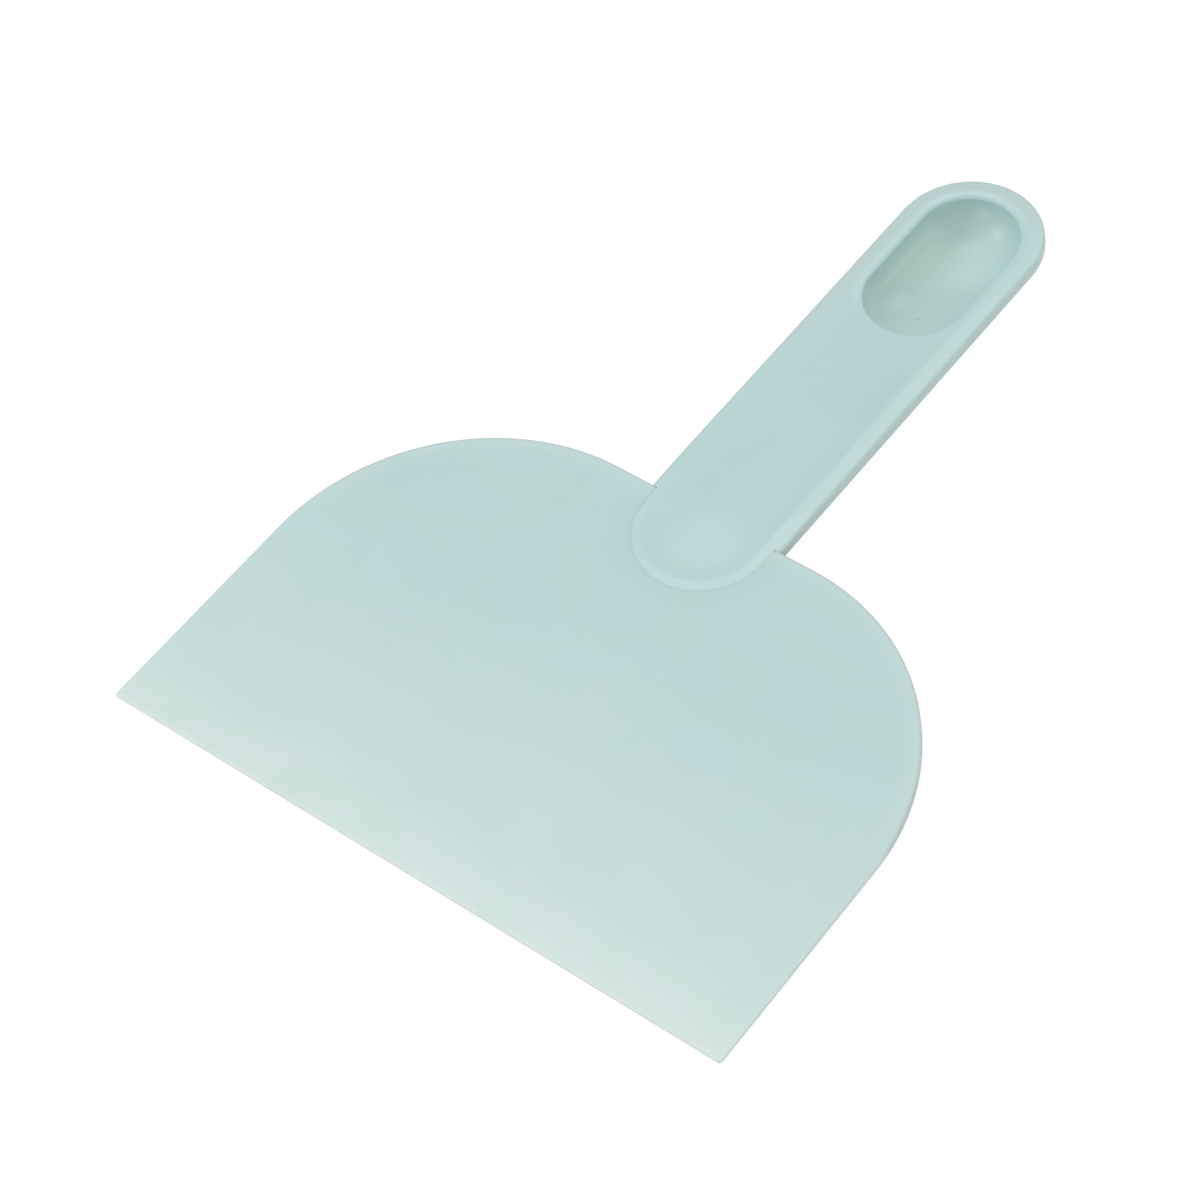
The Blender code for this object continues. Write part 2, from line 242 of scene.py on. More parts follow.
class BladeSizes(bpy.types.PropertyGroup):
    """Sizes of the half-moon blade and its tongue."""
    width: size_of("Width", 150.0, "Length of the scraping edge")
    length: size_of("Length", 98.1, "From the scraping edge to the back edge")
    thickness: size_of("Thickness", 2.0, "Thickness behind the taper")
    edge_thickness: size_of("Edge thickness", 0.6, "Thickness at the scraping edge")
    taper_length: size_of("Taper length", 55.0, "Depth of the tapered underside")
    side_length: size_of("Side length", 49.1, "Straight side in front of the round shoulder")
    side_tilt: FloatProperty(name="Side tilt", description="Lean of the sides towards the handle",
                             default=math.radians(0.97), subtype="ANGLE", unit="ROTATION")
    corner_radius: size_of("Corner radius", 0.6, "Rounding of the two front corners")
    rounding: size_of("Edge rounding", 0.2, "Rounding of the edges of both faces")
    tang_width: size_of("Tongue width", 20.1, "Tongue that runs on inside the handle")
    tang_length: size_of("Tongue length", 14.0, "How far the tongue reaches past the back edge")


class HandleSizes(bpy.types.PropertyGroup):
    """Sizes of the dished handle, its foot on the blade and its recess."""
    length: size_of("Length", 122.82, "From the foot's front to the far end")
    width: size_of("Width", 32.1, "Width of the grip")
    height: size_of("Height", 3.3, "From the rim's crest to the underside")
    foot_lap: size_of("Foot lap", 19.8, "How far the handle reaches over the blade")
    foot_inset: size_of("Foot inset", 1.5, "How much narrower the foot is than the grip")
    rim_inset: size_of("Rim inset", 3.25, "From the side wall to the rim's crest")
    rim_rise: size_of("Rim rise", 0.36, "Height of the crest over the blade's face")
    rim_fall: size_of("Rim fall", 1.51, "How much lower the crest is at the far end")
    flank_ease: share_of("Flank ease", 0.4, "How much flatter the flank is beyond the blade")
    ease_run: size_of("Ease run", 12.0, "Length over which the flank grows flatter")
    crest: size_of("Crest", 0.15, "Softness of the turn at the crest")
    fall_start: size_of("Fall start", 5.0, "Softness of the start of the crest's fall")
    shoulder: size_of("Shoulder radius", 0.7, "Rounding between the rim's flank and the wall")
    under: size_of("Under radius", 0.5, "Rounding between the wall and the underside")
    dish_depth: size_of("Dish depth", 0.33, "Depth of the dish below the crest")
    dish_blend: size_of("Dish blend", 4.6, "Width of the slope inside the crest")
    crown: size_of("Crown", 0.09, "Swell along the middle of the dish")
    foot_depth: size_of("Foot depth", 0.3, "Depth of the dish at the foot")
    foot_blend: size_of("Foot blend", 4.4, "Width of the slope inside the crest at the foot")
    foot_change: size_of("Foot change", 4.5, "From the foot's centre to where the dish changes")
    foot_run: size_of("Foot run", 11.0, "Length over which the dish changes there")
    recess_start: size_of("Recess start", 3.0, "From the tongue's tip to the recess")
    recess_radius: size_of("Recess radius", 10.55, "Half the recess's width at its mouth")


class BowlSizes(bpy.types.PropertyGroup):
    """Sizes of the measuring bowl in the handle's far end."""
    length: size_of("Length", 40.25, "Length of the mouth")
    rail: size_of("Rail", 5.05, "From the grip's side to the mouth")
    depth: size_of("Depth", 8.0, "From the mouth to the floor")
    wall: size_of("Wall", 1.6, "Thickness of the bowl's wall")
    near_lip: size_of("Near lip", 0.25, "Rounding of the mouth on the grip's side")
    lip_width: size_of("Lip width", 1.5, "Width of the soft lip at the sides and far end")
    lip_height: size_of("Lip height", 0.8, "Height of the soft lip")
    lip_run: number_of("Lip run", 1.1, "Length over which the lip widens, in bowl radii")
    floor_start: share_of("Floor start", 0.35, "Where the floor starts along the straight part")
    fillet: size_of("Outside fillet", 0.9, "Rounding where the bowl leaves the underside")
    skirt: size_of("Skirt", 0.3, "Plain ring round the bowl's outside")


class JointSizes(bpy.types.PropertyGroup):
    """Sizes of the hidden joint, in which the handle grips the blade."""
    seat_depth: size_of("Seat depth", 1.25, "Depth of the foot's pocket in the blade")
    seam: size_of("Seam", 0.015, "Fine line between handle and blade")
    gap: size_of("Gap", 0.05, "Room round the blade in the handle's slots")
    hole_side: size_of("Hole side", 7.5, "From the middle to the two front holes")
    hole_back: size_of("Hole back", 9.0, "From the back edge to the two front holes")
    hole_tip: size_of("Hole tip", 8.0, "From the tongue's tip to the hole in it")
    hole_radius: size_of("Hole radius", 2.5, "Radius of the three holes")
    peg_radius: size_of("Peg radius", 2.4, "Radius of the three pegs in the holes")
    peg_lap: size_of("Peg lap", 0.1, "How far a peg's ends run into the handle")


class PlasticLook(bpy.types.PropertyGroup):
    """Colours and finish of the satin moulded plastic, and of its painted light and shade."""
    blade: colour_of("Blade", (0.483, 0.655, 0.659), "Blade where it is thick")
    # Also the colour of the painted light on the side walls and inside the back edge
    edge: colour_of("Edge", (0.630, 0.764, 0.740), "Blade at its thin scraping edge")
    # Palest plastic at the very edge, with a painted highlight along its rounding
    thinnest: colour_of("Thinnest", (0.700, 0.785, 0.765), "Last millimetre of the edge")
    # Painted dark line of shade round the back edge
    back_line: colour_of("Back line", (0.470, 0.540, 0.530), "Fine line round the back edge")
    handle: colour_of("Handle", (0.457, 0.640, 0.647), "Dish of the handle")
    # A paler tone of the handle, for its random clouds and for the painted light on the rim, foot
    # and bowl's lip
    rim: colour_of("Rim", (0.512, 0.682, 0.690), "Rim and foot of the handle, rubbed paler")
    # Greyer colour that paints the shade on the outside of the rim's far left side
    far_rim_shade: colour_of("Far rim", (0.523, 0.627, 0.615), "Greyer outside of the rim's far end")
    # Darker colour that paints the shade on the handle's side wall
    wall: colour_of("Wall", (0.456, 0.590, 0.566), "Side wall of the handle")
    bowl: colour_of("Bowl", (0.482, 0.656, 0.622), "Inside of the bowl")
    tinge: colour_of("Tinge", (0.460, 0.700, 0.570), "Greener clouds in the plastic")
    # Painted highlight on the bowl's floor
    floor: colour_of("Floor", (0.545, 0.720, 0.700), "Light spot on the bowl's floor")
    mark: colour_of("Mark", (0.250, 0.330, 0.310), "Gate mark, and the shade in corners")
    roughness: share_of("Roughness", 0.32, "Roughness of the moulded faces")
    mottle: number_of("Mottle scale", 28.0, "Wide clouds, per metre")
    mottle_share: share_of("Mottle", 0.3, "Strength of the wide clouds")
    drift: number_of("Drift scale", 75.0, "Greener clouds, per metre")
    drift_share: share_of("Drift", 0.14, "Strength of the greener clouds")
    drift_start: share_of("Drift start", 0.38, "Noise at which greener clouds start")
    drift_end: share_of("Drift end", 0.64, "Noise at which they are full")
    swell: number_of("Swell scale", 60.0, "Changes of the roughness, per metre")
    swell_share: share_of("Swell", 0.08, "How much the roughness changes")
    grain: number_of("Grain scale", 2600.0, "Fine grain of the mould, per metre")
    grain_share: share_of("Grain", 0.12, "Strength of the fine grain")
    grain_depth: size_of("Grain depth", 0.02, "Height of the fine grain")
    refraction: number_of("Refraction", 1.49, "Index of refraction")


class StageLook(bpy.types.PropertyGroup):
    """Camera, lamps, tent and table."""
    camera_place: FloatVectorProperty(
        name="Camera place", description="Over the blade's plane, from the scraping edge's middle",
        default=(0.35087, -0.24679, 0.63515), size=3, subtype="TRANSLATION", unit="LENGTH")
    focal_length: FloatProperty(name="Focal length", description="On a film 36 mm wide",
                                default=121.54, min=1.0, unit="CAMERA")
    tent: number_of("Tent", 0.589, "Strength of the white tent")
    lamp_level: number_of("Lamp level", 1.0, "Share of each lamp's full power")
    lamp_reach: size_of("Lamp distance", 1200.0, "From the table's middle to each lamp")
    lamp_width: size_of("Lamp width", 420.0, "Width of each round softbox")
    table: share_of("Table", 0.92, "Light that the table gives back")
    glow: number_of("Glow", 1.02, "Brightness of the table for the camera")
    glow_share: share_of("Glow share", 0.94, "Share of that brightness in its look")


class Graph:
    """Adds nodes to a tree."""

    def __init__(self, tree):
        self.tree = tree
        tree.nodes.clear()

    def node(self, kind, settings=None, **values):
        """Makes a node: its settings first, then the values or links of its sockets.

        A socket goes by its name, with spaces as underscores, or by in0, in1 and so on.
        """
        made = self.tree.nodes.new(kind)
        for name, value in (settings or {}).items():
            setattr(made, name, value)
        for name, value in values.items():
            socket = self.socket(made, name)
            if isinstance(value, Value):
                self.tree.links.new(value.socket, socket)
            else:
                socket.default_value = value
        return made

    @staticmethod
    def socket(made, name):
        if name.startswith("in") and name[2:].isdigit():
            return made.inputs[int(name[2:])]
        wanted = name.replace("_", " ").lower()
        for socket in made.inputs:
            if socket.enabled and socket.name.lower() == wanted:
                return socket
        raise KeyError(f"{made.bl_idname} has no socket {name}")

    def out(self, made, name=0):
        return Value(self, made.outputs[name])

    def give(self, kind, settings=None, **values):
        """Makes a node and gives its first output."""
        return self.out(self.node(kind, settings, **values))

    def math(self, operation, *values, clamp=False):
        settings = {"operation": operation, "use_clamp": clamp}
        return self.give("ShaderNodeMath", settings,
                         **{f"in{i}": value for i, value in enumerate(values)})

    def ramp(self, value, start, end, low=0.0, high=1.0):
        """Smooth step of a value from low to high between start and end."""
        settings = {"interpolation_type": "SMOOTHSTEP"}
        return self.give("ShaderNodeMapRange", settings, Value=value, From_Min=start,
                         From_Max=end, To_Min=low, To_Max=high)

    def fade(self, place, fade, origin=0.0):
        """Share that a fade gives at a place, when it is counted from an origin."""
        return self.ramp(place, origin + fade.start * MM, origin + fade.end * MM, fade.low,
                         fade.high)

    def clamp(self, value, low, high):
        """Keeps a value between two others."""
        return self.math("MINIMUM", self.math("MAXIMUM", value, low), high)

    def distance(self, along, across):
        return self.math("SQRT", along * along + across * across)

    def noise(self, place, scale, detail, roughness):
        return self.give("ShaderNodeTexNoise", Vector=place, Scale=scale, Detail=detail,
                         Roughness=roughness)

    def blend(self, factor, *colours):
        """Mixes two colours, each of them a Value or three numbers."""
        first, second = (c if isinstance(c, Value) else (*c, 1.0) for c in colours)
        settings = {"data_type": "RGBA"}
        return self.out(self.node("ShaderNodeMix", settings, Factor=factor, A=first, B=second), 2)


class Value:
    """A node's output that can be written in sums."""

    def __init__(self, graph, socket):
        self.graph = graph
        self.socket = socket

    def __add__(self, other):
        return self.graph.math("ADD", self, other)

    __radd__ = __add__

    def __sub__(self, other):
        return self.graph.math("SUBTRACT", self, other)

    def __rsub__(self, other):
        return self.graph.math("SUBTRACT", other, self)

    def __mul__(self, other):
        return self.graph.math("MULTIPLY", self, other)

    __rmul__ = __mul__

    def __truediv__(self, other):
        return self.graph.math("DIVIDE", self, other)


def tool_pose(edge_thickness):
    """How the tool lies on the table, read from the frame's mount on the scraping edge."""
    mount = next(m for m in frame["record"]["mounts"] if m["name"] == "scraping_edge")
    axis = Vector(mount["axis"])
    turn = Matrix.Rotation(math.atan2(-axis.z, -axis.y), 4, "X")
    place = Vector(mount["pos_m"]) + turn @ Vector((0.0, 0.0, edge_thickness / 2))
    return Matrix.Translation(place) @ turn


def smoothstep(t):
    t = np.clip(t, 0.0, 1.0)
    return t * t * (3.0 - 2.0 * t)


def soft_ramp(d, softness):
    """Nought below nought and d above it, with a soft turn between."""
    return (np.sqrt(d * d + softness * softness) + d) / 2


def stadium(near_y, far_y, radius, arc_points, side_points):
    """Points round two half circles joined by straight sides; the radius may vary by point."""
    arc = math.pi * np.arange(arc_points) / arc_points
    side = np.arange(side_points) / side_points
    flat = side * 0.0
    across = np.concatenate([np.cos(math.pi + arc), flat + 1.0, np.cos(arc), flat - 1.0])
    along = np.concatenate([np.sin(math.pi + arc), flat, np.sin(arc), flat])
    share = np.concatenate([arc * 0.0, side, arc * 0.0 + 1.0, 1.0 - side])
    return radius * across, near_y + (far_y - near_y) * share + radius * along


class ToolForm:
    """Places and heights on the blade and the handle, worked out from their sizes."""

    def __init__(self, scene):
        self.blade = blade = scene.scraper_blade
        self.handle = handle = scene.scraper_handle
        self.bowl = bowl = scene.scraper_bowl
        self.joint = joint = scene.scraper_joint
        self.look = scene.scraper_look
        self.half = handle.width / 2
        self.near_y = blade.length - handle.foot_lap + self.half
        self.far_y = self.near_y + handle.length - handle.width
        self.rim = self.half - handle.rim_inset
        self.foot = self.half - handle.foot_inset
        self.flank = math.atan(handle.rim_rise / (handle.rim_inset - handle.foot_inset))
        self.bowl_r = self.half - bowl.rail
        self.bowl_y = self.far_y - (bowl.length - 2 * self.bowl_r)
        side_y = blade.side_length * math.cos(blade.side_tilt)
        self.turn_r = (blade.length - side_y) / (1.0 - math.sin(blade.side_tilt))
        self.turn_y = blade.length - self.turn_r
        self.turn_x = (blade.width / 2 - side_y * math.tan(blade.side_tilt)
                       - self.turn_r * math.cos(blade.side_tilt))
        self.tang_r = blade.tang_width / 2
        self.tang_tip_y = blade.length + blade.tang_length
        front_y = blade.length - joint.hole_back
        self.lock_places = [(-joint.hole_side, front_y), (joint.hole_side, front_y),
                            (0.0, self.tang_tip_y - joint.hole_tip)]

    def rim_height(self, y):
        """Height of the crest, which falls towards the far end."""
        past = soft_ramp(y - self.blade.length, self.handle.fall_start)
        return self.handle.rim_rise - (self.handle.rim_fall * past
                                       / (self.far_y - self.blade.length))

    def under_height(self, y):
        return self.rim_height(y) - self.handle.height

    def ring(self, near_y, radius):
        """Loop round the handle's far end and a half circle nearer to the blade."""
        return stadium(near_y, self.far_y, radius, *HANDLE_RING)

    def top(self, x, y):
        """Height of the dish, the crest and the flank outside it."""
        handle = self.handle
        at_foot = smoothstep((self.near_y - handle.foot_change - y) / handle.foot_run + 0.5)
        depth = handle.dish_depth + (handle.foot_depth - handle.dish_depth) * at_foot
        width = handle.dish_blend + (handle.foot_blend - handle.dish_blend) * at_foot
        out = np.hypot(x, y - np.clip(y, self.near_y, self.far_y)) - self.rim
        inside = 1.0 - smoothstep(out / width + 1.0)
        middle = smoothstep((-out - width) / (self.rim - width))
        ease = handle.flank_ease * smoothstep((y - self.blade.length) / handle.ease_run)
        fall = soft_ramp(out, handle.crest) * math.tan(self.flank) * (1.0 - ease)
        return self.rim_height(y) - depth * inside + handle.crown * middle - fall

    def ground(self, y):
        """Height of the table under the tool, seen from the blade's plane."""
        to_tool = tool_pose(self.blade.edge_thickness).inverted()
        start = to_tool.translation
        up = to_tool.to_3x3().col[2]
        return start.z - (y - start.y) * up.y / up.z

    def under(self, x, y):
        """Height of the flat underside with the bowl's outside swelling out of it."""
        bowl = self.bowl
        flat = self.under_height(y)
        out = np.hypot(x, y - np.clip(y, self.bowl_y, self.far_y))
        out = np.clip(out / (self.bowl_r + bowl.wall), 0.0, 1.0)
        mouth = self.rim_height(self.bowl_y) - self.handle.dish_depth
        dome = mouth - (bowl.depth + bowl.wall) * np.sqrt(1.0 - out * out)
        near = np.clip(bowl.fillet - np.abs(flat - dome), 0.0, None) / bowl.fillet
        low = np.minimum(flat, dome) - near * near * bowl.fillet / 4
        return np.maximum(low, self.ground(y))

    def loops(self):
        """Loops of points from the bowl's floor over its lip and the rim to its outside."""
        return [np.stack(loop, axis=1) for loop in
                (*self.bowl_loops(), *self.side_loops(), *self.bottom_loops())]

    def bowl_loops(self):
        """From the bowl's floor up its wall, round its lip and over the dish to the crest."""
        bowl = self.bowl
        mouth_y = self.ring(self.bowl_y, self.bowl_r)[1]
        widening = smoothstep((mouth_y - self.bowl_y + self.bowl_r) / (self.bowl_r * bowl.lip_run))
        lip_width = bowl.near_lip + (bowl.lip_width - bowl.near_lip) * widening
        lip_height = bowl.near_lip + (bowl.lip_height - bowl.near_lip) * widening
        lip_r = self.bowl_r + lip_width
        lip_top = self.top(*self.ring(self.bowl_y, lip_r))
        wall_top = lip_top - lip_height
        floor = self.rim_height(self.bowl_y) - self.handle.dish_depth - bowl.depth
        floor_run = bowl.floor_start * (self.far_y - self.bowl_y)
        for angle in np.linspace(math.pi / 2, 0.0, FLOOR_LOOPS)[:-1]:
            near_y = self.bowl_y + floor_run * math.sin(angle) ** 2
            x, y = self.ring(near_y, self.bowl_r * math.cos(angle))
            yield x, y, wall_top - (wall_top - floor) * math.sin(angle)
        for angle in np.linspace(0.0, math.pi / 2, LIP_LOOPS):
            x, y = self.ring(self.bowl_y, self.bowl_r + lip_width * (1.0 - math.cos(angle)))
            yield x, y, lip_top - lip_height * (1.0 - math.sin(angle))
        for t in np.linspace(0.0, 1.0, TOP_LOOPS)[1:]:
            near_share = (1.0 - math.cos(math.pi * t)) / 2
            near_y = self.bowl_y + (self.near_y - self.bowl_y) * near_share
            x, y = self.ring(near_y, lip_r * (1.0 - t) + self.rim * t)
            yield x, y, self.top(x, y)

    def side_loops(self):
        """From the crest down the flank, the shoulder and the side wall to the underside."""
        shoulder = self.handle.shoulder
        start = self.half - shoulder * (1.0 - math.sin(self.flank))
        flank = [self.rim + out * MM for out in FLANK_LOOPS]
        for radius in [radius for radius in flank if radius < start - FLANK_ROOM]:
            x, y = self.ring(self.near_y, radius)
            yield x, y, self.top(x, y)
        arc_top = self.top(*self.ring(self.near_y, start))
        for angle in np.linspace(self.flank, math.pi / 2, SHOULDER_LOOPS):
            x, y = self.ring(self.near_y, self.half - shoulder + shoulder * math.sin(angle))
            yield x, y, arc_top - shoulder * (math.cos(self.flank) - math.cos(angle))
        under = self.handle.under
        for angle in np.linspace(0.0, math.pi / 2, UNDER_LOOPS):
            x, y = self.ring(self.near_y, self.half - under + under * math.cos(angle))
            yield x, y, self.under_height(y) + under * (1.0 - math.sin(angle))

    def bottom_loops(self):
        """From the underside's edge to the bowl's outside and in under it."""
        reach = self.bowl_r + self.bowl.wall + self.bowl.skirt
        for t in np.linspace(0.0, 1.0, BOTTOM_LOOPS)[1:]:
            near_share = (1.0 + math.cos(math.pi * t)) / 2
            near_y = self.bowl_y + (self.near_y - self.bowl_y) * near_share
            radius = (self.half - self.handle.under) * (1.0 - t) + reach * t
            x, y = self.ring(near_y, radius)
            yield x, y, self.under(x, y)
        for angle in np.linspace(0.0, math.pi / 2, DOME_LOOPS)[1:]:
            x, y = self.ring(self.bowl_y, reach * math.cos(angle))
            yield x, y, self.under(x, y)

    def recess_loops(self):
        """Loops of the shallow recess in the underside, from its ceiling to below its mouth."""
        handle = self.handle
        near_y = self.tang_tip_y + handle.recess_start + handle.recess_radius
        for inset, depth in RECESS_WALL:
            radius = handle.recess_radius - inset * MM
            x, y = stadium(near_y, self.bowl_y, radius, *RECESS_RING)
            yield np.stack([x, y, self.rim_height(y) - depth * MM], axis=1)

    def foot_outline(self, grow):
        """Foot on the blade, from its left end at the back edge round to its right end."""
        radius = self.foot + grow
        arc = [(radius * math.cos(a), self.near_y + radius * math.sin(a))
               for a in np.linspace(math.pi, 2 * math.pi, FOOT_POINTS)]
        return [(-radius, self.blade.length)] + arc + [(radius, self.blade.length)]

    def tang_outline(self, grow):
        """Tongue with its round tip, from inside the blade's back edge."""
        radius = self.tang_r + grow
        start = self.blade.length - PAST
        arc = [(radius * math.cos(a), self.tang_tip_y - self.tang_r + radius * math.sin(a))
               for a in np.linspace(0.0, math.pi, TANG_POINTS)]
        return [(radius, start)] + arc + [(-radius, start)]


def mesh_piece(name, bm):
    """Makes an object of a bmesh, with its faces outward."""
    bmesh.ops.recalc_face_normals(bm, faces=bm.faces)
    mesh = bpy.data.meshes.new(name)
    bm.to_mesh(mesh)
    bm.free()
    made = bpy.data.objects.new(name, mesh)
    bpy.context.scene.collection.objects.link(made)
    return made


def skin(name, loops):
    """Skins loops of equal length; an end loop that lies on a line is welded there."""
    bm = bmesh.new()
    rows = [[bm.verts.new(point) for point in loop] for loop in loops]
    for lower, upper in zip(rows, rows[1:]):
        for i in range(len(lower)):
            j = (i + 1) % len(lower)
            bm.faces.new((lower[i], lower[j], upper[j], upper[i]))
    for loop, row in ((loops[0], rows[0]), (loops[-1], rows[-1])):
        if max(point[0] for point in loop) > LINE:
            bm.faces.new(row)
    bmesh.ops.remove_doubles(bm, verts=bm.verts, dist=WELD)
    bmesh.ops.dissolve_degenerate(bm, edges=bm.edges, dist=WELD)
    return mesh_piece(name, bm)


def slab(name, outline, top, bottom):
    """Upright block over an outline."""
    bm = bmesh.new()
    face = bm.faces.new([bm.verts.new((x, y, bottom)) for x, y in outline])
    raised = bmesh.ops.extrude_face_region(bm, geom=[face])["geom"]
    verts = [item for item in raised if isinstance(item, bmesh.types.BMVert)]
    bmesh.ops.translate(bm, verts=verts, vec=(0.0, 0.0, top - bottom))
    return mesh_piece(name, bm)


def carve(piece, *tools):
    """Cuts or joins each tool in turn, and leaves the piece with a plain mesh."""
    for tool, operation in tools:
        step = piece.modifiers.new(tool.name, "BOOLEAN")
        step.operation = operation
        step.object = tool
        step.solver = "EXACT"
    settle(piece)
    for tool, _ in tools:
        bpy.data.objects.remove(tool, do_unlink=True)


def settle(piece):
    """Replaces a piece's mesh by what its modifiers make of it."""
    bpy.context.view_layer.update()
    seen = piece.evaluated_get(bpy.context.evaluated_depsgraph_get())
    mesh = bpy.data.meshes.new_from_object(seen)
    piece.modifiers.clear()
    old = piece.data
    piece.data = mesh
    mesh.name = piece.name
    bpy.data.meshes.remove(old)


def lay_down(piece, material, node):
    """Lays a finished piece on the table and hands it to the frame in place of a CAD node."""
    mesh = piece.data
    bm = bmesh.new()
    bm.from_mesh(mesh)
    open_edges = sum(not edge.is_manifold for edge in bm.edges)
    bm.free()
    if open_edges:
        raise RuntimeError(f"{piece.name} has {open_edges} open edges")
    mesh.transform(tool_pose(bpy.context.scene.scraper_blade.edge_thickness))
    mesh.shade_smooth()
    mesh.set_sharp_from_angle(angle=SHARP_TURN)
    mesh.materials.clear()
    mesh.materials.append(material)
    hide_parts(node)
    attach(piece, "root")


def new_tree(title, sizes):
    """Starts a geometry tree that is given a geometry, some sizes and a material."""
    tree = bpy.data.node_groups.new(title, "GeometryNodeTree")
    face = tree.interface
    face.new_socket("Geometry", in_out="INPUT", socket_type="NodeSocketGeometry")
    for name in sizes:
        face.new_socket(name, in_out="INPUT", socket_type="NodeSocketFloat").subtype = "DISTANCE"
    face.new_socket("Material", in_out="INPUT", socket_type="NodeSocketMaterial")
    face.new_socket("Geometry", in_out="OUTPUT", socket_type="NodeSocketGeometry")
    graph = Graph(tree)
    given = graph.node("NodeGroupInput")
    return graph, lambda name: graph.out(given, name)


def end_tree(graph, geometry, material):
    """Ends a geometry tree with real geometry in one material, and returns the tree."""
    real = graph.give("GeometryNodeRealizeInstances", Geometry=geometry)
    dressed = graph.give("GeometryNodeSetMaterial", Geometry=real, Material=material)
    graph.node("NodeGroupOutput", in0=dressed)
    return graph.tree


def pin_tree():
    """Geometry nodes that set a round pin at each of the piece's points."""
    graph, given = new_tree("pins at points", ("Radius", "Height"))
    pin = graph.give("GeometryNodeMeshCylinder", {"fill_type": "NGON"}, Vertices=PIN_POINTS,
                     Radius=given("Radius"), Depth=given("Height"))
    placed = graph.give("GeometryNodeInstanceOnPoints", Points=given("Geometry"), Instance=pin)
    return end_tree(graph, placed, given("Material"))


def grow(piece, tree, **inputs):
    """Puts a node tree on a piece, sets its named inputs and keeps the plain mesh it makes."""
    step = piece.modifiers.new(tree.name, "NODES")
    step.node_group = tree
    for item in tree.interface.items_tree:
        name = item.name.replace(" ", "_")
        if item.in_out == "INPUT" and name in inputs:
            step[item.identifier] = inputs[name]
    settle(piece)
    bpy.data.node_groups.remove(tree)


def lock_pins(name, places, radius, top, bottom, material):
    """Pins through the blade, as one mesh."""
    bm = bmesh.new()
    for x, y in places:
        bm.verts.new((x, y, (top + bottom) / 2))
    pins = mesh_piece(name, bm)
    grow(pins, pin_tree(), Radius=radius, Height=top - bottom, Material=material)
    return pins


def plate_tree():
    """Geometry nodes that draw the blade's rounded band along its outline, thinner to the edge."""
    graph, given = new_tree("half-moon plate", (
        "Width", "Length", "Thickness", "Edge Thickness", "Taper Length", "Rounding",
        "Back Width", "Shoulder Radius", "Corner Radius"))
    corners = graph.give("GeometryNodeCurvePrimitiveQuadrilateral", {"mode": "TRAPEZOID"},
                         Height=given("Length"), Bottom_Width=given("Width"),
                         Top_Width=given("Back Width"), Offset=0.0)
    index = graph.give("GeometryNodeInputIndex")
    at_back = graph.math("LESS_THAN", index, 2.0)
    turn = at_back * given("Shoulder Radius") + (1.0 - at_back) * given("Corner Radius")
    steps = at_back * (BACK_STEPS - FRONT_STEPS) + FRONT_STEPS
    outline = graph.give("GeometryNodeFilletCurve", {"mode": "POLY"}, Curve=corners,
                         Count=steps, Radius=turn)
    middle = graph.give("ShaderNodeCombineXYZ", Y=given("Length") / 2.0)
    moved = graph.give("GeometryNodeTransform", Geometry=outline, Translation=middle)

    # Section: a point on the upper face, two quarter rounds, a point on the lower face
    count = 2 * EDGE_STEPS + 4
    line = graph.give("GeometryNodeMeshLine", Count=count)
    upper = graph.clamp(index - 1, 0, EDGE_STEPS)
    lower = graph.clamp(index - (EDGE_STEPS + 2), 0, EDGE_STEPS)
    angle = (upper + lower) * (math.pi / 2 / EDGE_STEPS)
    at_end = graph.math("LESS_THAN", index, 0.5) + graph.math("GREATER_THAN", index, count - 1.5)
    above = graph.math("LESS_THAN", index, EDGE_STEPS + 1.5)
    inward = given("Rounding") * (1.0 - graph.math("SINE", angle)) + at_end * FLANGE
    height = (given("Rounding") * (graph.math("COSINE", angle) - 1.0) * above
              + (1.0 - above) * (given("Rounding") * (graph.math("COSINE", angle) + 1.0)
                                 - given("Thickness")))
    place = graph.give("ShaderNodeCombineXYZ", X=-1.0 * inward, Y=-1.0 * height)
    bent = graph.give("GeometryNodeSetPosition", Geometry=line, Position=place)
    section = graph.give("GeometryNodeMeshToCurve", Mesh=bent)
    band = graph.give("GeometryNodeCurveToMesh", Curve=moved, Profile_Curve=section)

    at = graph.node("ShaderNodeSeparateXYZ", in0=graph.give("GeometryNodeInputPosition"))
    along = graph.clamp(graph.out(at, "Y") / given("Taper Length"), 0.0, 1.0)
    thin = given("Edge Thickness") / given("Thickness")
    squeeze = thin + (1.0 - thin) * along
    place = graph.give("ShaderNodeCombineXYZ", X=graph.out(at, "X"), Y=graph.out(at, "Y"),
                       Z=graph.out(at, "Z") * squeeze)
    tapered = graph.give("GeometryNodeSetPosition", Geometry=band, Position=place)
    return end_tree(graph, tapered, given("Material"))


